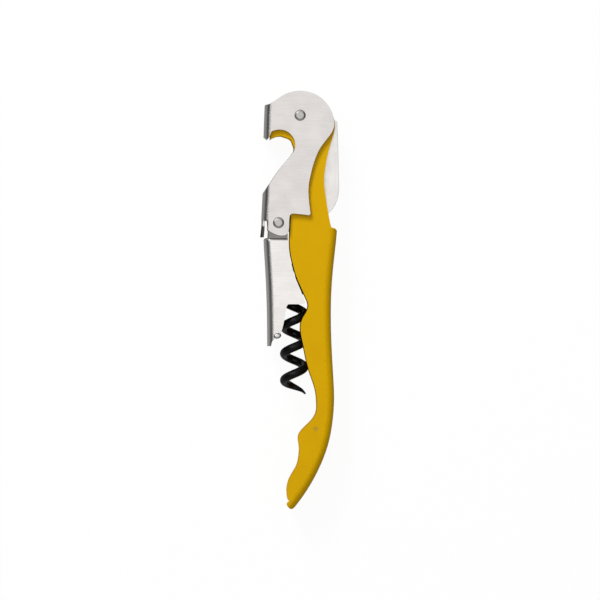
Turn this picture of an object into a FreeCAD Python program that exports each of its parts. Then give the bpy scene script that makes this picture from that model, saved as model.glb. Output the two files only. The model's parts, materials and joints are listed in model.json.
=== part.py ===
import FreeCAD, Part
import math
import os
from FreeCAD import Vector
import Sketcher

# Two-step lever corkscrew, folded shut and lying on its side.
# X runs across the tool (levers towards -X, back of the handle towards +X),
# Y runs along it towards the head, Z is the axis of every pivot.
# Every sub-part is drawn about its own middle plane and lifted so that the lowest rivet head is at Z = 0.

doc = FreeCAD.newDocument("lever_corkscrew")
sheet = doc.addObject("Spreadsheet::Sheet", "Sizes")

DRIVING_SIZES = [
    ("steel", 1.0, "thickness of the folded sheet"),
    ("handle_width", 10.8, "outside width of the folded handle"),
    ("side_gap", 0.15, "play between sheets that turn against each other"),
    ("handle_bend", 2.3, "outside radius of the handle's folded back"),
    ("lever_bend", 2.0, "outside radius of the levers' folded backs"),
    ("joggle", 0.4, "how far the lower lever's cheeks step outward below its ears"),
    ("head_x", 0.0, "head pivot"),
    ("head_y", 52.8, "head pivot"),
    ("hinge_x", -6.16, "pivot between the two levers"),
    ("hinge_y", 22.1, "pivot between the two levers"),
    ("worm_x", -0.8, "worm pivot"),
    ("worm_y", 27.1, "worm pivot"),
    ("rivet_shank", 1.2, "shank radius of the lever rivets"),
    ("rivet_head", 1.6, "head radius of the lever rivets"),
    ("rivet_flat", 1.05, "radius of the flat on a rivet head"),
    ("head_height", 0.6, "how far a rivet head stands proud"),
    ("worm_shank", 1.5, "radius of the worm's pin"),
    ("running", 0.05, "radial play of a pin in a turning hole"),
    ("blade_thick", 1.2, "foil blade"),
    ("collar_radius", 3.0, "spacer collars beside the blade"),
    ("tongue_width", 4.4, "tongue at the foot of the upper lever's back"),
    ("tongue_round", 0.4, "rounding of the tongue's sides"),
    ("joggle_round", 0.7, "rounding where the cheeks step outward"),
    ("slot_width", 5.4, "slot in the lower lever's back that the tongue passes through"),
    ("wire", 1.225, "radius of the worm's wire"),
    ("helix_radius", 2.875, "from the worm's axis to the middle of its wire"),
    ("helix_pitch", 7.63, "rise of one turn of the worm"),
    ("helix_turns", 5.35, "turns of full wire"),
    ("helix_axis", -1.5, "X of the worm's axis"),
    ("tip_y", -26.6, "Y of the worm's point"),
    ("taper_turns", 0.4, "turns over which the wire thins to the point"),
    ("point_radius", 0.2, "radius of the wire at the very point"),
    ("elbow_rise", 1.0, "height of the elbow above the last turn"),
    ("eye_step", 2.2, "from one winding of the worm's eye to the next"),
]
for row, (alias, value, meaning) in enumerate(DRIVING_SIZES, start=1):
    sheet.set(f"A{row}", str(value))
    sheet.set(f"B{row}", meaning)
    sheet.setAlias(f"A{row}", alias)
doc.recompute()


def size(alias):
    return float(sheet.get(alias))


LEVER_WIDTH = "Sizes.handle_width + 2 * Sizes.side_gap + 2 * Sizes.steel"
UNDER_HEAD = "Sizes.handle_width / 2 + Sizes.side_gap + Sizes.steel + Sizes.running / 2"
HALF_STACK = UNDER_HEAD + " + Sizes.head_height"
EVERYTHING = 200.0


# ---- drawing helpers ----

def curve(*points):
    """A smooth curve through points."""
    spline = Part.BSplineCurve()
    spline.interpolate([Vector(x, y, 0) for x, y in points])
    return [spline]


def lines(*points):
    """Straight runs from point to point."""
    ends = [Vector(x, y, 0) for x, y in points]
    return [Part.LineSegment(a, b) for a, b in zip(ends, ends[1:])]


def arc(start, middle, end):
    return [Part.Arc(*[Vector(x, y, 0) for x, y in (start, middle, end)])]


def moved(points, distance):
    """The same curve's points, each moved to the left of its direction of travel."""
    spline = curve(*points)[0]
    result = []
    for x, y in points:
        along = spline.tangent(spline.parameter(Vector(x, y, 0)))[0]
        result.append((x - along.y * distance, y + along.x * distance))
    return result


def new_body(name):
    body = doc.addObject("PartDesign::Body", name)
    body.Label = name
    body.setExpression("Placement.Base.z", HALF_STACK)
    return body


def new_sketch(body, name, role="XY_Plane"):
    plane = [f for f in body.Origin.OriginFeatures if f.Role == role][0]
    sketch = body.newObject("Sketcher::SketchObject", name)
    sketch.AttachmentSupport = (plane, [""])
    sketch.MapMode = "FlatFace"
    return sketch


def outline(body, name, *loops):
    sketch = new_sketch(body, name)
    for loop in loops:
        for piece in loop:
            sketch.addGeometry(piece, False)
    return sketch


def pad(body, name, sketch, width):
    """Material both ways from the middle plane; width is an expression."""
    feature = body.newObject("PartDesign::Pad", name)
    feature.Profile = sketch
    feature.Midplane = True
    feature.setExpression("Length", width)
    doc.recompute()
    return feature


def pocket(body, name, sketch, width=None):
    """Cut both ways from the middle plane, through everything where no width is given."""
    before = body.Shape.Volume
    feature = body.newObject("PartDesign::Pocket", name)
    feature.Profile = sketch
    feature.Midplane = True
    feature.Length = EVERYTHING
    if width:
        feature.setExpression("Length", width)
    doc.recompute()
    if body.Shape.Volume > before - 0.01:
        raise RuntimeError(f"{body.Label}: {name} cuts nothing")
    return feature


def trim(body, name, loop):
    """Cut away everything outside a closed outline."""
    far = EVERYTHING / 2
    frame = lines((-far, -far), (far, -far), (far, far), (-far, far), (-far, -far))
    return pocket(body, name, outline(body, name + "_outline", frame, loop))


def round_edges(body, name, height, place, radius):
    """Fillet the edges that pass through place at height above and below the middle plane."""
    base = body.Tip
    names = []
    for index, edge in enumerate(base.Shape.Edges, start=1):
        for z in (height, -height):
            if edge.distToShape(Part.Vertex(place[0], place[1], z))[0] < 0.02:
                names.append(f"Edge{index}")
    feature = body.newObject("PartDesign::Fillet", name)
    feature.Base = (base, names)
    feature.setExpression("Radius", radius)
    doc.recompute()
    return feature


def hole(body, name, pivot, radius):
    """A round hole right through at a pivot; radius is an expression."""
    sketch = new_sketch(body, name + "_circle")
    centre = Vector(size(pivot + "_x"), size(pivot + "_y"), 0)
    sketch.addGeometry(Part.Circle(centre, Vector(0, 0, 1), 1.0), False)
    for kind, cell in (("DistanceX", pivot + "_x"), ("DistanceY", pivot + "_y")):
        index = sketch.addConstraint(Sketcher.Constraint(kind, -1, 1, 0, 3, size(cell)))
        sketch.setExpression(f"Constraints[{index}]", f"Sizes.{cell}")
    index = sketch.addConstraint(Sketcher.Constraint("Radius", 0, 1.0))
    sketch.setExpression(f"Constraints[{index}]", radius)
    return pocket(body, name, sketch)


def middle(points):
    return points[len(points) // 2]


TIGHT = "Sizes.rivet_shank"
LOOSE = "Sizes.rivet_shank + Sizes.running"


def folded(name, back, front_x, width, bend, into):
    """A sheet folded along its back: a block with the back's curve on one side, rounded and hollowed.

    into is +1 where the hollow lies to the left of the back's direction of travel, else -1.
    """
    body = new_body(name)
    first, last = back[0], back[-1]
    block = curve(*back) + lines(last, (front_x, last[1]), (front_x, first[1]), first)
    pad(body, "block", outline(body, "block_outline", block), width)
    half = body.Tip.Shape.BoundBox.ZMax
    round_edges(body, "bend_outside", half, middle(back), bend)
    steel = size("steel")
    inner = moved(back, into * steel)
    over = front_x - 5.0 if front_x < back[0][0] else front_x + 5.0
    top, foot = max(first[1], last[1]) + 5.0, min(first[1], last[1]) - 5.0
    start = (inner[0][0], top if first[1] > last[1] else foot)
    end = (inner[-1][0], foot if first[1] > last[1] else top)
    hollow = curve(*inner) + lines(inner[-1], end, (over, end[1]), (over, start[1]), start, inner[0])
    pocket(body, "hollow", outline(body, "hollow_outline", hollow), f"{width} - 2 * Sizes.steel")
    round_edges(body, "bend_inside", half - steel, middle(inner), f"{bend} - Sizes.steel")
    return body


# ---- handle: one sheet folded along the back, open at the front ----

HANDLE_BACK = [
    (14.0, 62.0), (12.2, 42.0), (11.1, 27.0), (10.5, 18.0), (9.6, 9.7), (9.0, 1.4), (8.9, -5.2), (9.1, -13.0),
    (9.6, -22.0), (9.84, -28.0), (9.5, -33.8), (8.3, -40.7), (5.8, -47.6), (1.7, -55.0), (-2.2, -60.2),
]
HANDLE_FRONT = [
    (-2.6, 23.9), (-2.9, 19.0), (-2.95, 16.8), (-2.7, 13.5), (-2.0, 10.2), (-1.0, 6.7), (0.4, 3.4), (1.8, 0.4),
    (2.4, -1.5), (2.1, -2.9), (0.7, -5.4), (0.2, -8.4), (1.1, -13.4), (2.4, -19.4), (4.7, -26.8), (4.9, -29.3),
    (4.7, -32.3), (3.4, -34.5), (0.7, -37.2), (-0.3, -38.9), (-0.1, -41.8), (-0.2, -44.8), (-0.8, -47.4),
    (-2.1, -49.7), (-3.1, -51.7), (-3.6, -53.9), (-3.6, -55.6), (-3.3, -57.3),
]
handle = folded("handle_shell", HANDLE_BACK, -25.0, "Sizes.handle_width", "Sizes.handle_bend", -1)
NECK_BACK = [
    (8.9, 20.9), (8.1, 24.8), (7.3, 30.0), (6.9, 34.3), (7.5, 39.4), (8.2, 42.7), (9.2, 46.0), (9.9, 48.6),
    (10.0, 50.2), (9.8, 51.6), (9.0, 53.4),
]
handle_loop = (
    lines((14.0, -45.0), (14.0, 19.4), (10.7, 19.4))
    + arc((10.7, 19.4), (10.25, 20.3), (9.4, 20.6)) + lines((9.4, 20.6), (8.9, 20.9))
    + curve(*NECK_BACK)
    + arc((9.0, 53.4), (0.0, 59.5), (-8.4, 54.4)) + lines((-8.4, 54.4), (-8.45, 45.9))
    + curve((-8.45, 45.9), (-6.9, 46.7), (-5.4, 46.9), (-4.0, 46.5), (-2.6, 45.8), (-2.0, 44.6), (-1.6, 43.5))
    + curve((-1.6, 43.5), (-1.9, 38.0), (-2.6, 32.0), (-3.7, 28.8), (-3.9, 26.6), (-3.2, 24.8), (-2.6, 23.9))
    + curve(*HANDLE_FRONT)
    + lines((-3.3, -57.3), (-2.7, -57.8))
    + arc((-2.7, -57.8), (-3.5, -58.5), (-3.2, -59.4)) + arc((-3.2, -59.4), (-2.4, -59.8), (-1.6, -59.3))
    + lines((-1.6, -59.3), (2.0, -62.0), (14.0, -45.0))
)
trim(handle, "cheeks", handle_loop)
hole(handle, "head_hole", "head", TIGHT)
hole(handle, "worm_hole", "worm", "Sizes.worm_shank")

# ---- upper lever: straddles the handle's head; cap lifter above, first step and tongue below ----

UPPER_BACK = [(-9.7, 62.0), (-9.9, 55.5), (-10.2, 47.2), (-10.35, 38.0), (-10.5, 30.2), (-10.8, 24.2), (-10.85, 14.0)]
upper = folded("upper_lever", UPPER_BACK, 25.0, LEVER_WIDTH, "Sizes.lever_bend", 1)
BACK_FOOT = 22.7
upper_loop = (
    arc((9.8, 50.2), (5.2, 58.31), (-5.35, 58.21))
    + lines((-5.35, 58.21), (-8.9, 55.95), (-13.0, 55.3), (-13.0, 46.5), (-10.0, 46.5), (-9.3, 45.9), (-8.8, 46.6),
            (-8.1, 48.2))
    + curve((-8.1, 48.2), (-5.9, 48.7), (-4.5, 48.5), (-3.3, 47.9), (-2.4, 47.0), (-1.6, 45.7), (-1.4, 44.6),
            (-1.6, 42.9), (-2.3, 41.7), (-5.3, 38.1), (-9.1, 32.6), (-10.7, 30.2))
    + lines((-10.7, 30.2), (-13.0, 28.5), (-13.0, BACK_FOOT), (-9.2, BACK_FOOT), (-9.15, 19.9))
    + curve((-9.15, 19.9), (-7.3, 18.9), (-5.1, 18.4), (-3.8, 18.8), (-3.2, 20.2), (-3.1, 21.8), (-3.0, 23.6))
    + arc((-3.0, 23.6), (-2.75, 24.4), (-2.1, 24.7)) + curve((-2.1, 24.7), (0.3, 24.5), (2.5, 24.2))
    + lines((2.5, 24.2), (3.0, 24.6))
    + curve((3.0, 24.6), (2.5, 29.0), (2.5, 33.0), (3.0, 35.7), (4.2, 40.0), (6.0, 43.8), (8.6, 47.2), (9.4, 48.6),
            (9.8, 50.2))
)
trim(upper, "cheeks", upper_loop)
tongue = lines((-10.84, BACK_FOOT + 0.6), (-9.84, BACK_FOOT + 0.6), (-10.0, 20.6), (-10.25, 17.95), (-11.25, 17.95),
               (-10.95, 20.6), (-10.84, BACK_FOOT + 0.6))
pad(upper, "tongue", outline(upper, "tongue_outline", tongue), "Sizes.tongue_width")
round_edges(upper, "tongue_outside", size("tongue_width") / 2, (-11.1, 19.275), "Sizes.tongue_round")
hole(upper, "head_hole", "head", LOOSE)
hole(upper, "hinge_hole", "hinge", TIGHT)

# ---- lower lever: ears inside the upper lever, cheeks stepped outward, second step and foot ----

LOWER_BACK = [(-10.5, 24.0), (-10.2, 16.2), (-9.8, 9.7), (-9.4, 1.5), (-9.2, -8.6), (-9.15, -18.0)]
BODY_WIDTH = "Sizes.handle_width + 2 * Sizes.joggle"
EARS_TOP = 17.7
lower = folded("lower_lever", LOWER_BACK, 15.0, BODY_WIDTH, "Sizes.lever_bend", 1)
body_loop = (
    lines((-3.5, EARS_TOP), (-13.0, EARS_TOP), (-13.0, -13.2), (-8.3, -13.2))
    + curve((-8.3, -13.2), (-8.1, -12.4), (-7.85, -11.7), (-7.2, -11.15), (-6.2, -10.8), (-5.6, -10.1), (-5.4, -9.2))
    + curve((-5.4, -9.2), (-4.7, -6.7), (-4.3, -4.5), (-4.0, -2.7), (-3.8, -1.8), (-3.3, -1.2))
    + lines((-3.3, -1.2), (0.8, -1.2)) + arc((0.8, -1.2), (1.35, -0.9), (1.35, -0.3))
    + curve((1.35, -0.3), (0.0, 3.2), (-1.4, 6.6), (-2.4, 10.1), (-3.1, 13.4), (-3.35, 16.0), (-3.5, EARS_TOP))
)
trim(lower, "cheeks", body_loop)
round_edges(lower, "joggle", lower.Tip.Shape.BoundBox.ZMax, (-5.0, EARS_TOP), "Sizes.joggle_round")
ears = (
    lines((-3.5, 17.0), (-9.1, 17.0), (-8.86, 22.1)) + arc((-8.86, 22.1), (-6.16, 24.8), (-3.46, 22.1))
    + lines((-3.46, 22.1), (-3.5, 17.0))
)
pad(lower, "ears", outline(lower, "ears_outline", ears), "Sizes.handle_width")
between_ears = lines((-12.0, 16.9), (0.0, 16.9), (0.0, 27.0), (-12.0, 27.0), (-12.0, 16.9))
pocket(lower, "between_ears", outline(lower, "between_outline", between_ears), "Sizes.slot_width")
ear_gap = lines((-9.2, 16.9), (0.0, 16.9), (0.0, 27.0), (-9.2, 27.0), (-9.2, 16.9))
pocket(lower, "ear_gap", outline(lower, "ear_gap_outline", ear_gap), "Sizes.handle_width - 2 * Sizes.steel")
slot = lines((-12.0, 16.0), (-8.5, 16.0), (-8.5, 18.0), (-12.0, 18.0), (-12.0, 16.0))
pocket(lower, "tongue_slot", outline(lower, "slot_outline", slot), "Sizes.slot_width")
hole(lower, "hinge_hole", "hinge", LOOSE)

# ---- foil blade, folded between the neck's cheeks ----

blade = new_body("foil_blade")
blade_loop = (
    arc((-3.4, 52.8), (-2.4, 55.2), (0.0, 56.2)) + curve((0.0, 56.2), (3.5, 55.3), (7.0, 53.4), (10.0, 51.4))
    + arc((10.0, 51.4), (10.6, 51.25), (10.8, 50.8))
    + curve((10.8, 50.8), (11.0, 45.5), (11.15, 40.0), (11.25, 34.6), (11.2, 30.4), (10.8, 28.8), (10.3, 27.5),
            (9.6, 26.3), (8.6, 25.1), (7.4, 24.2))
    + curve((7.4, 24.2), (6.5, 25.2), (5.9, 27.0), (5.7, 30.0), (6.1, 36.0), (5.9, 41.0), (4.6, 45.5), (1.9, 49.2),
            (-1.2, 49.6), (-3.4, 52.8))
)
pad(blade, "plate", outline(blade, "plate_outline", blade_loop), "Sizes.blade_thick")
hole(blade, "pivot_hole", "head", LOOSE)


# ---- rivets, pin and collars ----

def bound_corners(sketch, corners):
    """A closed run of straight lines in a sketch; each corner is a pair of expressions."""
    places = [Vector(*[float(sheet.evalExpression(part)) for part in corner], 0) for corner in corners]
    for start, end in zip(places, places[1:] + places[:1]):
        sketch.addGeometry(Part.LineSegment(start, end), False)
    for index, (corner, place) in enumerate(zip(corners, places)):
        sketch.addConstraint(Sketcher.Constraint("Coincident", (index - 1) % len(corners), 2, index, 1))
        for kind, part, value in zip(("DistanceX", "DistanceY"), corner, place):
            number = sketch.addConstraint(Sketcher.Constraint(kind, -1, 1, index, 1, value))
            sketch.setExpression(f"Constraints[{number}]", part)


def rivet(name, pivot):
    """A shank with a peened head at each end, turned about its own axis."""
    body = new_body(name)
    body.setExpression("Placement.Base.x", f"Sizes.{pivot}_x")
    body.setExpression("Placement.Base.y", f"Sizes.{pivot}_y")
    sketch = new_sketch(body, "half_section", "XZ_Plane")
    half = [
        ("0", HALF_STACK), ("Sizes.rivet_flat", HALF_STACK),
        ("Sizes.rivet_head", UNDER_HEAD + " + Sizes.head_height / 2"), ("Sizes.rivet_head", UNDER_HEAD),
        ("Sizes.rivet_shank", UNDER_HEAD),
    ]
    bound_corners(sketch, half + [(across, f"-({up})") for across, up in reversed(half)])
    turned = body.newObject("PartDesign::Revolution", "turned")
    turned.Profile = sketch
    turned.ReferenceAxis = (sketch, ["V_Axis"])
    turned.Angle = 360
    doc.recompute()


def collar(name, pivot, radius, bore, length, level):
    """A plain ring on a pivot; bore, length and level are expressions."""
    ring = doc.addObject("Part::Cylinder", name + "_outside")
    ring.setExpression("Radius", radius)
    ring.setExpression("Height", length)
    core = doc.addObject("Part::Cylinder", name + "_bore")
    core.setExpression("Radius", bore)
    core.setExpression("Height", length)
    cut = doc.addObject("Part::Cut", name)
    cut.Base, cut.Tool = ring, core
    cut.Label = name
    cut.setExpression("Placement.Base.x", f"Sizes.{pivot}_x")
    cut.setExpression("Placement.Base.y", f"Sizes.{pivot}_y")
    cut.setExpression("Placement.Base.z", level)
    doc.recompute()


rivet("head_rivet", "head")
rivet("hinge_rivet", "hinge")

COLLAR_LENGTH = "Sizes.handle_width / 2 - Sizes.steel - Sizes.blade_thick / 2 - Sizes.running / 2"
collar("blade_collar_front", "head", "Sizes.collar_radius", "Sizes.rivet_shank", COLLAR_LENGTH,
       HALF_STACK + " + Sizes.blade_thick / 2 + Sizes.running / 2")
collar("blade_collar_back", "head", "Sizes.collar_radius", "Sizes.rivet_shank", COLLAR_LENGTH,
       HALF_STACK + " - Sizes.handle_width / 2 + Sizes.steel")

pin = doc.addObject("Part::Cylinder", "worm_pin")
pin.Label = "worm_pin"
pin.setExpression("Radius", "Sizes.worm_shank")
pin.setExpression("Height", "Sizes.handle_width")
pin.setExpression("Placement.Base.x", "Sizes.worm_x")
pin.setExpression("Placement.Base.y", "Sizes.worm_y")
pin.setExpression("Placement.Base.z", HALF_STACK + " - Sizes.handle_width / 2")


# ---- worm: closed eye on its pin, straight shank, right-handed helix with a drawn-out point ----

def helix(turns, foot):
    """A right-handed helix about the worm's axis; foot is its lowest Y, and the point faces +X."""
    pitch = size("helix_pitch")
    spiral = Part.makeHelix(pitch, pitch * turns, size("helix_radius"))
    spiral.rotate(Vector(0, 0, 0), Vector(1, 0, 0), -90)
    spiral.rotate(Vector(0, 0, 0), Vector(0, 1, 0), (foot - size("tip_y")) / pitch * 360)
    spiral.translate(Vector(size("helix_axis"), foot, 0))
    return spiral


def swept(spiral, start_radius, end_radius):
    """Round wire along a spiral, with a radius for each end."""
    edges = spiral.Edges
    shell = Part.BRepOffsetAPI.MakePipeShell(Part.Wire(edges))
    shell.setFrenetMode(True)
    ends = ((edges[0], edges[0].FirstParameter, start_radius), (edges[-1], edges[-1].LastParameter, end_radius))
    for edge, parameter, thick in ends:
        circle = Part.makeCircle(thick, edge.valueAt(parameter), edge.tangentAt(parameter))
        shell.add(Part.Wire([circle]))
    shell.build()
    shell.makeSolid()
    return shell.shape()


def worm_shape():
    """Point, full turns, arm and elbow back to the worm's axis, shank, and three windings round the pin."""
    wire, eye_step, play = size("wire"), size("eye_step"), size("worm_shank") + size("running")
    axis_x, pin_at = size("helix_axis"), Vector(size("worm_x"), size("worm_y"), 0)
    spiral = helix(size("helix_turns"), size("tip_y") + size("helix_pitch") * size("taper_turns"))
    last = spiral.Edges[-1].valueAt(spiral.Edges[-1].LastParameter)
    elbow = Vector(axis_x, last.y + size("elbow_rise"), 0)
    arm = elbow - last
    eye_radius = play + wire
    shank_top = pin_at.y - math.sqrt(eye_radius ** 2 - (axis_x - pin_at.x) ** 2)
    pieces = [
        swept(spiral, wire, wire), swept(helix(size("taper_turns"), size("tip_y")), size("point_radius"), wire),
        Part.makeSphere(wire, last), Part.makeCylinder(wire, arm.Length, last, arm),
        Part.makeSphere(wire, elbow), Part.makeCylinder(wire, shank_top - elbow.y, elbow, Vector(0, 1, 0)),
    ]
    pieces += [Part.makeTorus(eye_radius, wire, pin_at + Vector(0, 0, k * eye_step)) for k in (-1, 0, 1)]
    across = 2 * (eye_step + wire)
    bore = Part.makeCylinder(play, 2 * across, pin_at - Vector(0, 0, across))
    return pieces[0].multiFuse(pieces[1:]).cut(bore)


worm = doc.addObject("Part::Feature", "worm")
worm.Label = "worm"
worm.Shape = worm_shape()
worm.Placement = FreeCAD.Placement(handle.Placement.Base, FreeCAD.Rotation())

doc.recompute()

# ---- checks and export ----

SUB_PARTS = [
    "handle_shell", "upper_lever", "lower_lever", "head_rivet", "hinge_rivet", "worm_pin", "blade_collar_front",
    "blade_collar_back", "foil_blade", "worm",
]
for item in doc.Objects:
    if "Invalid" in item.State or "Error" in item.State:
        raise RuntimeError(f"{item.Name} failed: {item.State}")
os.makedirs("parts", exist_ok=True)
for name in SUB_PARTS:
    item = doc.getObjectsByLabel(name)[0]
    shape = item.Shape
    if shape.isNull() or not shape.isValid():
        raise RuntimeError(f"{name} has no valid shape")
    box = shape.BoundBox
    print(f"{name}: {len(shape.Solids)} solid, {shape.Volume:.1f} mm3, x {box.XMin:.2f}..{box.XMax:.2f},"
          f" y {box.YMin:.2f}..{box.YMax:.2f}, z {box.ZMin:.2f}..{box.ZMax:.2f}")
for name in SUB_PARTS:
    doc.getObjectsByLabel(name)[0].Shape.exportStep(f"parts/{name}.step")
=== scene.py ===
# %% [markdown]
# # Lever corkscrew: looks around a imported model
# The engineering model is loaded as a fixed frame. It stays where it is, and every new piece is
# made in the same metres, so a piece goes where the frame says and nothing is fitted afterwards.

# %% Load the frame
import json
import math

import bmesh
import bpy
import numpy as np
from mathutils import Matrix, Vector

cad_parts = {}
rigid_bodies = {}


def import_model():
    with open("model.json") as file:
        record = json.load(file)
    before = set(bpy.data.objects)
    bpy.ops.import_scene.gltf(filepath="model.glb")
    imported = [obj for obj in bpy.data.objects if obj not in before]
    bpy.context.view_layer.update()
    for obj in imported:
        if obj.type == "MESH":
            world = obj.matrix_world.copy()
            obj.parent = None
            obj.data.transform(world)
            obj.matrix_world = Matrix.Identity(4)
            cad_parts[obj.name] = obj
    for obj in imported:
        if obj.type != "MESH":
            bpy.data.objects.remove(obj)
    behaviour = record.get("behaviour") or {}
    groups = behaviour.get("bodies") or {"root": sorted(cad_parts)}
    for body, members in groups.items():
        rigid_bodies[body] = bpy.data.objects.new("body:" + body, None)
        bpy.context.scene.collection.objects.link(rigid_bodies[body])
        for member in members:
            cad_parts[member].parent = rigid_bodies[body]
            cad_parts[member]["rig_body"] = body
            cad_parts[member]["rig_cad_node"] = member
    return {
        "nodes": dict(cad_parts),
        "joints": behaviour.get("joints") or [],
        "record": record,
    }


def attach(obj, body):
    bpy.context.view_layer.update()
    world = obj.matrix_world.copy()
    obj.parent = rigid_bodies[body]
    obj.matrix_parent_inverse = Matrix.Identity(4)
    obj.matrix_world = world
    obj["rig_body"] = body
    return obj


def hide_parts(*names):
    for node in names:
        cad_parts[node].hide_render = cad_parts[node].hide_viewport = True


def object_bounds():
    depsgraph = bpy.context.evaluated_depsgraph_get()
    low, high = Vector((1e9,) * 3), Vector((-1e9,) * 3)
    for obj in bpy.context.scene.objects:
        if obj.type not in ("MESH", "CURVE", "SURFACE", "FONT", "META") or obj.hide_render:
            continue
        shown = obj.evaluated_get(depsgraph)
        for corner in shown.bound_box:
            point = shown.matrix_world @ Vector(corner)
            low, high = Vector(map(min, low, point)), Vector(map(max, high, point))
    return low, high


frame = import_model()
CAD_BOX = [list(corner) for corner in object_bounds()]
NODES = frame["nodes"]
BODIES = frame["record"]["behaviour"]["bodies"]
MM = 0.001
scene = bpy.context.scene
low, high = (np.array(corner) for corner in CAD_BOX)
print("frame", np.round((high - low) / MM, 2), "mm")

# %% [markdown]
# ## Where the pivots are
# The joints already know the three pivot axes, so every rivet, pin and eye is placed from them.
# All of them run along Z, and everything is symmetrical about one middle plane.

# %% Pivots and the middle plane
PIVOT = {joint["name"]: np.array(joint["pos_m"]) / MM for joint in frame["joints"]}
HEAD, HINGE, EYE = PIVOT["lever_swing"], PIVOT["second_lever_swing"], PIVOT["worm_swing"]
MID_Z = HEAD[2]
print("head", np.round(HEAD, 2), "hinge", np.round(HINGE, 2), "eye", np.round(EYE, 2), "mm")

# %% [markdown]
# ## Helpers for finishes
# Colours are written as the sRGB hex values a designer would pick, and one function turns them
# into the linear light that shaders work in. One more function adds a shader node: its settings
# are a dictionary, and its inputs are given by name, or as i0, i1 and so on by number.


# %% Colour and nodes
def linear(hex_colour):
    """sRGB hex text to a linear RGBA tuple."""
    srgb = [int(hex_colour[i:i + 2], 16) / 255 for i in (1, 3, 5)]
    return tuple(c / 12.92 if c <= 0.04045 else ((c + 0.055) / 1.055) ** 2.4 for c in srgb) + (1.0,)


def add(tree, kind, settings=None, **inputs):
    """A new shader node with its settings and inputs, which are values or other nodes' sockets."""
    node = tree.nodes.new("ShaderNode" + kind)
    for key, value in (settings or {}).items():
        setattr(node, key, value)
    for key, value in inputs.items():
        numbered = key[0] == "i" and key[1:].isdigit()
        socket = node.inputs[int(key[1:])] if numbered else node.inputs[key.replace("_", " ")]
        if isinstance(value, bpy.types.NodeSocket):
            tree.links.new(value, socket)
        else:
            socket.default_value = value
    return node


def new_finish(name, **inputs):
    """A material with a Principled shader whose uniform inputs are set; gives material, tree, shader."""
    material = bpy.data.materials.new(name)
    material.use_nodes = True
    shader = material.node_tree.nodes["Principled BSDF"]
    for key, value in inputs.items():
        shader.inputs[key.replace("_", " ")].default_value = value
    return material, material.node_tree, shader


def pattern(tree, feature_mm, detail=2.0):
    """Noise on Object coordinates; feature_mm is the size of its patches along X, Y and Z."""
    scale = tuple(1 / (size * MM) for size in feature_mm)
    place = add(tree, "Mapping", i0=add(tree, "TexCoord").outputs["Object"], Scale=scale)
    return add(tree, "TexNoise", Vector=place.outputs[0], Scale=1.0, Detail=detail).outputs["Fac"]


def spread(tree, fac, low_value, high_value):
    """The pattern's middle range, 0.3 to 0.7, stretched over low_value to high_value."""
    limits = {"i1": 0.3, "i2": 0.7, "i3": low_value, "i4": high_value}
    return add(tree, "MapRange", i0=fac, **limits).outputs[0]


def along(tree, axis, space="Object", unit=MM):
    """How far a point lies along an axis, in mm for Object coordinates."""
    place = add(tree, "SeparateXYZ", i0=add(tree, "TexCoord").outputs[space]).outputs[axis]
    return add(tree, "Math", {"operation": "DIVIDE"}, i0=place, i1=unit).outputs[0]


def away_from(tree, centre):
    """A point's distance in mm from an (X, Y) centre, seen along Z."""
    x, y = (add(tree, "Math", {"operation": "SUBTRACT"}, i0=along(tree, axis), i1=value).outputs[0]
            for axis, value in zip("XY", centre))
    flat = add(tree, "CombineXYZ", X=x, Y=y).outputs[0]
    return add(tree, "VectorMath", {"operation": "LENGTH"}, i0=flat).outputs["Value"]


def wear_and_shade_patch(material, patch_colour, *edges):
    """Mix the base colour towards patch_colour where every edge says so.

    An edge is (value, where plain, where patched), and a value is a socket such as along() gives.
    It paints the worn mark on the grip, and painted shade on the lower lever's ears, the upper
    lever's tongue end and the lips' rims.
    """
    tree = material.node_tree
    base = tree.nodes["Principled BSDF"].inputs["Base Color"]
    share = 1.0
    for value, plain_at, patch_at in edges:
        limits = {"i1": plain_at, "i2": patch_at}
        reach = add(tree, "MapRange", {"interpolation_type": "SMOOTHSTEP"}, i0=value, **limits).outputs[0]
        share = add(tree, "Math", {"operation": "MULTIPLY"}, i0=reach, i1=share).outputs[0]
    colour = add(tree, "Mix", {"data_type": "RGBA"}, i0=share, i6=base.links[0].from_socket,
                 i7=linear(patch_colour))
    tree.links.new(colour.outputs[2], base)


# %% [markdown]
# ## Camera
# The tool lies on its side and is seen from almost straight above with a long lens, so that its
# outline is nearly free of perspective. The camera stands a little to the lever side, so the far
# sheets just show past the near ones.

# %% Camera
CAMERA_UP, CAMERA_LEFT = 1.905, 0.055
FOCAL_MM, SENSOR_MM, NEAREST = 400.0, 36.0, 0.01
TOP_CHEEK = 5.5
lens = bpy.data.cameras.new("camera")
lens.lens, lens.sensor_width, lens.clip_start = FOCAL_MM, SENSOR_MM, NEAREST
camera = bpy.data.objects.new("camera", lens)
aim = Vector((0.0, 0.0, (MID_Z + TOP_CHEEK) * MM))
camera.location = aim + Vector((-CAMERA_LEFT, 0.0, CAMERA_UP))
camera.rotation_euler = (0.0, -math.atan2(CAMERA_LEFT, CAMERA_UP), 0.0)
scene.collection.objects.link(camera)
scene.camera = camera
print("camera height", round(camera.location.z, 3), "m")

# %% [markdown]
# ## Floor
# White paper that is lit from below as well as above, as on a studio light table.
# The glow keeps the shadow beside the tool faint. The paper neither lights the tool nor is
# mirrored by it: the world stands in for it there, so edges and folded backs stay dark as they do
# over a table that is lit from above.

# %% Floor
PAPER_SIZE, PAPER_GAP = 3.0, 0.2
bpy.ops.mesh.primitive_plane_add(size=PAPER_SIZE, location=(0, 0, low[2] - PAPER_GAP * MM))
floor = bpy.context.object
floor.name = "floor"
paper, tree, shader = new_finish(
    "glowing_white_paper", Base_Color=linear("#404040"), Roughness=0.9, Specular_IOR_Level=0.1,
    Emission_Color=linear("#FFFFFF"), Emission_Strength=0.95)
floor.data.materials.append(paper)
floor.visible_glossy = floor.visible_diffuse = False

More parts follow.
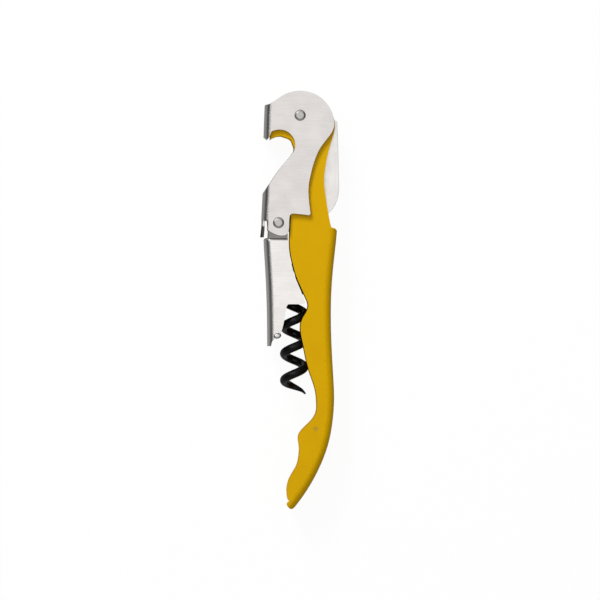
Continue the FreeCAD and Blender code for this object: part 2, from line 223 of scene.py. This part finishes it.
# %% [markdown]
# ## Light
# A broad soft light fills everything from above. A smaller, lower one beyond the head casts the
# soft shadows under the levers' edges, and a third gives the rivets' rims their glow. The world is
# a plain grey studio drawn by height: bright straight up, so flat cheeks shine, dark part way down,
# so a folded back shows a dark band, and mid grey at and below the horizon. Paler walls beyond the
# head and the tail keep steel light when it is seen from the side.
#
# SKY lists (place, brightness) from straight down, 0, to straight up, 1. WALLS lists each wall's
# side along Y and its brightness. A wall fades in where the direction's Y is between the two values
# of WALL_EDGE, counted towards its side.


# %% Light
def softbox(name, place, width, watts, mirrored):
    """A square area light at place that faces the tool; metal shows it only if mirrored."""
    data = bpy.data.lights.new(name, "AREA")
    data.size, data.energy = width, watts
    lamp = bpy.data.objects.new(name, data)
    lamp.location = place
    lamp.rotation_euler = (-Vector(place)).to_track_quat("-Z", "Y").to_euler()
    lamp.visible_glossy = mirrored
    scene.collection.objects.link(lamp)
    return lamp


lamps = [softbox("top_fill", (0.0, 0.0, 1.1), 1.4, 1.8, False),
         softbox("key", (-0.35, 0.75, 0.55), 0.30, 5.8, False),
         softbox("rim_glow", (-0.42, 0.50, 0.75), 0.60, 2.2, True)]

SKY = [(0.0, 0.32), (0.30, 0.36), (0.50, 0.24), (0.64, 0.07), (0.81, 0.055), (0.88, 0.12), (0.935, 0.30),
       (0.975, 0.66), (0.993, 1.06), (1.0, 1.27)]
WALLS, WALL_EDGE = [(1, 0.45), (-1, 0.35)], (0.3, 0.7)
world = bpy.data.worlds.new("studio")
scene.world = world
world.use_nodes = True
tree = world.node_tree
height = add(tree, "MapRange", i0=along(tree, "Z", "Generated", 1.0), i1=-1.0, i2=1.0).outputs[0]
ramp = add(tree, "ValToRGB", i0=height)
while len(ramp.color_ramp.elements) < len(SKY):
    ramp.color_ramp.elements.new(0.5)
for stop, (place, light) in zip(ramp.color_ramp.elements, SKY):
    stop.position, stop.color = place, (light, light, light, 1.0)
walls = [add(tree, "MapRange", {"interpolation_type": "SMOOTHSTEP"}, i0=along(tree, "Y", "Generated", 1.0),
             i1=WALL_EDGE[0] * side, i2=WALL_EDGE[1] * side, i4=light).outputs[0] for side, light in WALLS]
either = add(tree, "Math", {"operation": "MAXIMUM"}, i0=walls[0], i1=walls[1]).outputs[0]
lit = add(tree, "Mix", {"data_type": "RGBA", "blend_type": "LIGHTEN"}, i0=1.0,
          i6=ramp.outputs["Color"], i7=either).outputs[2]
tree.links.new(lit, tree.nodes["Background"].inputs["Color"])
scene.view_settings.view_transform = "Standard"
print("lamps", [lamp.name for lamp in lamps], "sky stops", len(SKY))

# %% [markdown]
# ## Yellow powder coat
# Dry paint powder, charged, sprayed on the folded handle and melted in an oven. It gives a satin,
# slightly pebbled skin, the orange peel, with patches about 0.5 mm across. The coat runs a little
# thick and thin, which shows as a faint drift of the colour. A small worn mark sits on the grip.


# %% Yellow powder coat
MARK, MARK_RADIUS, PEEL, PEEL_DEPTH = (4.5, -36.8), 1.0, 0.5, 0.012


def powder_coat():
    """Satin yellow paint with a faint drift of colour, a worn mark and orange peel."""
    material, tree, shader = new_finish("yellow_powder_coat", Roughness=0.46, Specular_IOR_Level=0.06)
    drift = spread(tree, pattern(tree, (6.0, 9.0, 6.0), 3.0), 0.0, 1.0)
    colour = add(tree, "Mix", {"data_type": "RGBA"}, i0=drift, i6=linear("#D9A700"),
                 i7=linear("#DCAC00"))
    tree.links.new(colour.outputs[2], shader.inputs["Base Color"])
    wear_and_shade_patch(material, "#C09A26", (away_from(tree, MARK), MARK_RADIUS, 0.4 * MARK_RADIUS))
    peel = pattern(tree, (PEEL,) * 3, 2.0)
    bump = add(tree, "Bump", Height=peel, Strength=0.35, Distance=PEEL_DEPTH * MM)
    tree.links.new(bump.outputs[0], shader.inputs["Normal"])
    return material


yellow = powder_coat()
print("made", yellow.name)

# %% [markdown]
# ## Brushed and ground steel
# The levers are cut from strip that a belt has brushed across its width, so fine lines run along X.
# Real lines are about 0.05 mm apart, too fine to show here, so they are drawn 0.3 mm apart and
# 6 mm long. The blade is ground along its length, and the rivets are plain turned wire, so both
# use the same recipe with other sizes. The sunk ears of the lower lever, the end of the upper
# lever's tongue and the rims of the lips are painted darker than the flats. That is painted shade:
# the ears lie under the upper lever, the tongue's end sits in a dark gap, and the rims slope away.


# %% Steel
CLOUD, ROUGHNESS_DRIFT = 5.0, 0.03


def brushed_steel(name, dark, light, roughness, grain_mm, depth_mm):
    """Metal whose stretched grain shifts the colour and is a shallow relief; clouds shift roughness."""
    material, tree, shader = new_finish(name, Metallic=1.0)
    grain = pattern(tree, grain_mm, 4.0)
    colour = add(tree, "Mix", {"data_type": "RGBA"}, i0=spread(tree, grain, 0.0, 1.0),
                 i6=linear(dark), i7=linear(light))
    tree.links.new(colour.outputs[2], shader.inputs["Base Color"])
    cloud = pattern(tree, (CLOUD,) * 3, 3.0)
    uneven = spread(tree, cloud, roughness - ROUGHNESS_DRIFT, roughness + ROUGHNESS_DRIFT)
    tree.links.new(uneven, shader.inputs["Roughness"])
    bump = add(tree, "Bump", Height=grain, Strength=0.5, Distance=depth_mm * MM)
    tree.links.new(bump.outputs[0], shader.inputs["Normal"])
    return material


STRIP = (0.26, (6.0, 0.30, 0.30), 0.0004)
# The lower lever's sunk ears are painted dark grey from EAR_LIT to EAR_SHADED along Y. This is painted
# shade, standing for the shadow under the upper lever.
EAR_LIT, EAR_SHADED = 16.9, 17.8
lower_steel = brushed_steel("brushed_strip_painted_ear_shade", "#E6E2DF", "#EDEAE7", *STRIP)
tree = lower_steel.node_tree
wear_and_shade_patch(lower_steel, "#85817D", (along(tree, "Y"), EAR_LIT, EAR_SHADED))

# The end of the upper lever's tongue is painted near black. This is painted shade, standing for the dark
# gap that the tongue sits in.
TONGUE_TOP, TONGUE_SIDE = 21.4, -9.9
upper_steel = brushed_steel("brushed_strip_painted_tongue_shade", "#D8D3D0", "#DEDAD7", *STRIP)
tree = upper_steel.node_tree
wear_and_shade_patch(upper_steel, "#4A4744", (along(tree, "Y"), TONGUE_TOP, TONGUE_TOP - 0.5),
       (along(tree, "X"), TONGUE_SIDE, TONGUE_SIDE - 0.3))

# The lips are painted near black wherever their surface tilts away from Z. This is painted shade round
# their sloping rims.
lip_steel = brushed_steel("pressed_lip_painted_rim_shade", "#E6E2DF", "#EDEAE7", *STRIP)
tree = lip_steel.node_tree
flatness = add(tree, "Math", {"operation": "ABSOLUTE"}, i0=along(tree, "Z", "Normal", 1.0)).outputs[0]
wear_and_shade_patch(lip_steel, "#2E2C2A", (flatness, 0.97, 0.80))

blade_steel = brushed_steel("ground_stainless_blade", "#E2DEDB", "#E8E5E2", 0.26, (0.4, 6.0, 0.4), 0.001)
rivet_steel = brushed_steel("turned_steel_wire", "#C8C5C1", "#D6D3CF", 0.36, (0.6, 0.6, 0.6), 0.003)
print("made", upper_steel.name, lower_steel.name, lip_steel.name, blade_steel.name, rivet_steel.name)

# %% [markdown]
# ## Black low-friction coating
# The worm is spring-steel wire dipped in a fluoropolymer coating and baked, so that it slides
# through cork. It is near black with a semi-gloss skin, slightly uneven over about 0.4 mm.


# %% Black coating
SKIN, SKIN_DEPTH = 0.4, 0.015


def black_coating():
    """Near-black semi-gloss skin whose roughness and height vary together."""
    material, tree, shader = new_finish("black_fluoropolymer", Base_Color=linear("#0B0B0C"),
                                        Specular_IOR_Level=0.22)
    uneven = pattern(tree, (SKIN,) * 3, 3.0)
    tree.links.new(spread(tree, uneven, 0.20, 0.34), shader.inputs["Roughness"])
    bump = add(tree, "Bump", Height=uneven, Strength=0.4, Distance=SKIN_DEPTH * MM)
    tree.links.new(bump.outputs[0], shader.inputs["Normal"])
    return material


black = black_coating()
print("made", black.name)

# %% [markdown]
# ## Finishing a piece
# Every piece rides on the body of the node that it stands for, replaces that node and takes its
# finish. One function does all three jobs, so none is forgotten.


# %% Finishing a piece
def finish_piece(piece, node, material):
    """Dress a piece and let it ride in place of a node."""
    piece.data.materials.clear()
    piece.data.materials.append(material)
    body = next(name for name, nodes in BODIES.items() if node in nodes)
    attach(piece, body)
    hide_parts(node)
    print(piece.name, "rides on", body, "with", len(piece.data.polygons), "faces")
    return piece


# %% [markdown]
# ## Folded sheets: handle, two levers and blade
# Their shape in the frame is right, but a sheared sheet never has a knife-sharp edge, and a real
# edge catches light. Each is a copy of the node's mesh, with its loose triangles joined into whole
# faces. A Bevel modifier rounds only the sharp edges, and Weighted Normal keeps the flats flat.


# %% Folded sheets
WELD, FLAT_DEG, SHARP_DEG, STEPS = 0.002, 0.3, 28.0, 3


def softened(node, width_mm):
    """A copy of a node's mesh whose edges sharper than SHARP_DEG are rounded over, width_mm wide."""
    piece = NODES[node].copy()
    piece.data = NODES[node].data.copy()
    piece.name = piece.data.name = "soft_" + node
    piece.parent = None
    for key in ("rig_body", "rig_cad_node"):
        if key in piece:
            del piece[key]
    scene.collection.objects.link(piece)
    shape = bmesh.new()
    shape.from_mesh(piece.data)
    bmesh.ops.remove_doubles(shape, verts=shape.verts, dist=WELD * MM)
    bmesh.ops.dissolve_limit(shape, angle_limit=math.radians(FLAT_DEG), verts=shape.verts,
                             edges=shape.edges)
    shape.to_mesh(piece.data)
    shape.free()
    piece.data.shade_smooth()
    bevel = piece.modifiers.new("edges", "BEVEL")
    bevel.width, bevel.segments, bevel.limit_method = width_mm * MM, STEPS, "ANGLE"
    bevel.angle_limit, bevel.miter_outer = math.radians(SHARP_DEG), "MITER_ARC"
    piece.modifiers.new("normals", "WEIGHTED_NORMAL").keep_sharp = True
    return piece


for node, width, slot, material in (
        ("handle_shell", 0.22, "painted_handle", yellow),
        ("upper_lever", 0.16, "lever_steel", upper_steel),
        ("lower_lever", 0.16, "lever_steel", lower_steel),
        ("foil_blade", 0.24, "blade_steel", blade_steel)):
    finish_piece(softened(node, width), node, material)

# %% [markdown]
# ## Grids into meshes
# Turned and swept parts are grids of points: rows follow the part's path, columns go round it.
# One function joins a grid's points into quads, wraps the columns, and either wraps the rows too,
# for a ring, or closes both ends with a fan round a middle point.


# %% Grids into meshes
def grid_piece(name, grid, ring=False):
    """An object from a grid of points in mm, shaped (rows, columns, 3)."""
    rows, columns = grid.shape[:2]
    index = np.arange(rows * columns).reshape(rows, columns)
    here, after = (index, np.roll(index, -1, 0)) if ring else (index[:-1], index[1:])
    quads = np.stack([here, np.roll(here, -1, 1), np.roll(after, -1, 1), after], -1).reshape(-1, 4)
    points, faces = grid.reshape(-1, 3), quads.tolist()
    if not ring:
        points = np.vstack([points, grid[0].mean(0), grid[-1].mean(0)])
        for loop, pole in ((index[0][::-1], len(points) - 2), (index[-1], len(points) - 1)):
            fan = np.stack([loop, np.roll(loop, -1), np.full(columns, pole)], -1)
            faces += fan.tolist()
    mesh = bpy.data.meshes.new(name)
    mesh.from_pydata((points * MM).tolist(), [], faces)
    shape = bmesh.new()
    shape.from_mesh(mesh)
    bmesh.ops.recalc_face_normals(shape, faces=shape.faces)
    shape.to_mesh(mesh)
    shape.free()
    mesh.shade_smooth()
    piece = bpy.data.objects.new(name, mesh)
    scene.collection.objects.link(piece)
    return piece


def rounded(corners, radius, steps=5):
    """Corners in mm, each but the first and last replaced by a short curve that starts radius before it.

    The curve is (1-t)^2 a + 2t(1-t) corner + t^2 b, with a and b on the two straight runs.
    """
    corners = np.array(corners, float)
    middle = corners[1:-1]
    back, ahead = corners[:-2] - middle, corners[2:] - middle
    a = middle + back / np.linalg.norm(back, axis=1, keepdims=True) * radius
    b = middle + ahead / np.linalg.norm(ahead, axis=1, keepdims=True) * radius
    t = np.linspace(0, 1, steps)[None, :, None]
    bends = (1 - t) ** 2 * a[:, None] + 2 * t * (1 - t) * middle[:, None] + t ** 2 * b[:, None]
    return np.vstack([corners[:1], bends.reshape(-1, 2), corners[-1:]])


def turned(name, profile, pivot, columns=72, ring=False):
    """A lathe: profile rows are (radius, height) about the pivot's axis, turned through a full circle."""
    angle = np.linspace(0, 2 * np.pi, columns, endpoint=False)
    radius, up = profile[:, :1], profile[:, 1:]
    grid = np.stack([pivot[0] + radius * np.cos(angle), pivot[1] + radius * np.sin(angle),
                     MID_Z + up + 0 * angle], -1)
    return grid_piece(name, grid, ring)


# %% [markdown]
# ## Rivets, pin and collars
# A peened rivet has a flat worn by the punch and a bevelled rim, 3.2 mm across here. Each is one
# profile turned on a lathe, with its corners eased by 0.14 mm. The worm's pin is plain wire, and
# the two collars beside the blade are short cuts of tube.

# %% Rivets, pin and collars
HEAD_HEIGHT, RIM, FLAT, SHANK, EASE, CENTRE = 0.6, 1.6, 1.05, 1.2, 0.14, 0.05
UNDER = MID_Z - HEAD_HEIGHT
half = [(FLAT, MID_Z), (RIM, MID_Z - HEAD_HEIGHT / 2), (RIM, UNDER), (SHANK, UNDER)]
section = [(CENTRE, MID_Z)] + half + [(r, -z) for r, z in reversed(half)] + [(CENTRE, -MID_Z)]
for node, pivot in (("head_rivet", HEAD), ("hinge_rivet", HINGE)):
    finish_piece(turned("turned_" + node, rounded(section, EASE), pivot), node, rivet_steel)

CHEEK, PIN = 5.4, 1.5
section = [(CENTRE, CHEEK), (PIN, CHEEK), (PIN, -CHEEK), (CENTRE, -CHEEK)]
finish_piece(turned("turned_worm_pin", rounded(section, EASE), EYE), "worm_pin", rivet_steel)

COLLAR, BESIDE_BLADE, SHEET = 3.0, 0.625, 1.0
for node, side in (("blade_collar_front", 1), ("blade_collar_back", -1)):
    near, far = side * BESIDE_BLADE, side * (CHEEK - SHEET)
    section = [(SHANK, (near + far) / 2), (SHANK, near), (COLLAR, near), (COLLAR, far),
               (SHANK, far), (SHANK, (near + far) / 2)]
    ring = rounded(section, EASE)[:-1]
    finish_piece(turned("turned_" + node, ring, HEAD, ring=True), node, rivet_steel)

# %% [markdown]
# ## Lips at the lower lever's foot
# A small oval shows where the second step ends. It is taken to be a lip pressed outward, one on
# each cheek. Each is a flattened ellipsoid half sunk in the cheek: its grid is longitude by
# latitude, squashed along Z, and turned a little so that it follows the cheek's edge.

# %% Lips
LIP_AT, LIP_HALF, LIP_TURN, LIP_DEPTH = (-6.45, -10.25), (1.1, 0.78, 0.34), math.radians(17), 5.75
LIP_ROWS, LIP_COLUMNS, SHORT_OF_POLE = 20, 40, 0.98


def lip(name, side):
    """An ellipsoid on the cheek on one side, +1 or -1, of the middle plane."""
    latitude = np.linspace(-SHORT_OF_POLE, SHORT_OF_POLE, LIP_ROWS)[:, None] * np.pi / 2
    longitude = np.linspace(0, 2 * np.pi, LIP_COLUMNS, endpoint=False)[None, :]
    x = LIP_HALF[0] * np.cos(latitude) * np.cos(longitude)
    y = LIP_HALF[1] * np.cos(latitude) * np.sin(longitude)
    z = LIP_HALF[2] * np.sin(latitude) + 0 * longitude
    cos, sin = math.cos(LIP_TURN), math.sin(LIP_TURN)
    grid = np.stack([LIP_AT[0] + x * cos - y * sin, LIP_AT[1] + x * sin + y * cos,
                     MID_Z + side * LIP_DEPTH + z], -1)
    piece = grid_piece(name, grid)
    piece.data.materials.append(lip_steel)
    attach(piece, "lower_lever")
    return piece


lips = [lip("foot_lip_front", 1), lip("foot_lip_back", -1)]
print("lips", [piece.name for piece in lips])

# %% [markdown]
# ## Worm
# One length of wire: two windings round the pin, an easy bend into the straight shank, then the
# screw, whose last stretch is ground down to a point. The wire's middle line is worked out piece by
# piece, spaced evenly, and a circle is carried along it. The circle needs a steady sideways
# direction at each point: the direction away from the screw's axis on the turns, which has come
# round to -Z where the shank starts, and -Z from there on.

# %% The wire's middle line
WIRE, SCREW, PITCH, AXIS_X, TIP_Y = 1.225, 2.875, 7.63, -1.5, -26.8
TURNS, MERGE_TURNS, WINDINGS, WINDING_STEP, ROUND_PIN = 4.75, 0.5, 2.0, 2.6, 0.05
EYE_RADIUS = PIN + ROUND_PIN + WIRE


def smooth(t):
    """0 to 1 with level ends: t*t*(3-2t)."""
    t = np.clip(t, 0, 1)
    return t * t * (3 - 2 * t)


# The runs below end a hair apart, so that no two of them share a point.
# Screw: a turn counter runs up from the tip. The angle is measured from +X towards -Z, so that the
# turns are right-handed about +Y, and the radius falls to nothing over the last half turn. Below
# STRAIGHT the wire leaves the turn and runs on with a slight droop, to its ground point.
STRAIGHT, STRAIGHT_LENGTH, DROOP = 0.125, 1.75, 0.35
count = np.linspace(STRAIGHT, TURNS + MERGE_TURNS, 800)
angle = 2 * np.pi * count
radius = SCREW * (1 - smooth((count - TURNS) / MERGE_TURNS))
outward = np.stack([np.cos(angle), 0 * angle, -np.sin(angle)], -1)
axis = np.stack([0 * count + AXIS_X, TIP_Y + PITCH * count, 0 * count + MID_Z], -1)
screw = axis + outward * radius[:, None]
leaving = (screw[0] - screw[1]) / np.linalg.norm(screw[0] - screw[1])
gone = np.linspace(STRAIGHT_LENGTH, 0.02, 30)[:, None]
point = screw[0] + leaving * gone - (gone / STRAIGHT_LENGTH) ** 2 * np.array([0.0, DROOP, 0.0])
print("point at", np.round(point[0], 2), "shank starts at", np.round(screw[-1], 2), "mm")
# Shank: straight up from the screw, then an S-bend across to the pin's left side and down in Z.
SHANK_TOP, BEND_START, Z_DONE = EYE[1], 17.5, 22.0
rise = np.linspace(screw[-1, 1] + 0.2, SHANK_TOP, 160)
eye_left, eye_low = EYE[0] - EYE_RADIUS, MID_Z - WINDING_STEP * WINDINGS / 2
across = smooth((rise - BEND_START) / (SHANK_TOP - BEND_START))
down = smooth((rise - screw[-1, 1]) / (Z_DONE - screw[-1, 1]))
shank = np.stack([AXIS_X + (eye_left - AXIS_X) * across, rise, MID_Z + (eye_low - MID_Z) * down], -1)
# Eye: a close winding that climbs one step in Z each turn, clockwise as seen from +Z.
wound = np.linspace(0.002, WINDINGS, 400)
turn = np.pi - 2 * np.pi * wound
eye = np.stack([EYE[0] + EYE_RADIUS * np.cos(turn), EYE[1] + EYE_RADIUS * np.sin(turn),
                eye_low + WINDING_STEP * wound], -1)
print("shank to", np.round(shank[-1], 2), "eye from", np.round(eye[0], 2), "mm")

# %% Wire carried along the line
SPACING, AROUND, GROUND_LENGTH, GROUND_CURVE, POINT_RADIUS = 0.18, 28, 7.8, 1.25, 0.24
END_LENGTH, END_SHARE = 0.6, 0.82
line = np.vstack([point, screw, shank, eye])
side = np.vstack([np.tile(outward[0], (len(point), 1)), outward,
                  np.tile([0.0, 0.0, -1.0], (len(shank) + len(eye), 1))])
length = np.concatenate([[0], np.cumsum(np.linalg.norm(np.diff(line, axis=0), axis=1))])
even = np.linspace(0, length[-1], int(length[-1] / SPACING))
line = np.stack([np.interp(even, length, line[:, k]) for k in range(3)], -1)
side = np.stack([np.interp(even, length, side[:, k]) for k in range(3)], -1)
ahead = np.gradient(line, axis=0)
ahead /= np.linalg.norm(ahead, axis=1, keepdims=True)
side -= ahead * (side * ahead).sum(1, keepdims=True)
side /= np.linalg.norm(side, axis=1, keepdims=True)
other = np.cross(ahead, side)
ground = 1 - np.clip(1 - even / GROUND_LENGTH, 0, 1) ** GROUND_CURVE
cut = np.clip((even[-1] - even) / END_LENGTH + END_SHARE, 0, 1)
thick = (POINT_RADIUS + (WIRE - POINT_RADIUS) * ground) * cut
round_it = np.linspace(0, 2 * np.pi, AROUND, endpoint=False)[None, :, None]
rim = np.cos(round_it) * side[:, None] + np.sin(round_it) * other[:, None]
grid = line[:, None] + thick[:, None, None] * rim
finish_piece(grid_piece("wound_worm", grid), "worm", black)
print("wire length", round(float(even[-1]), 1), "mm")
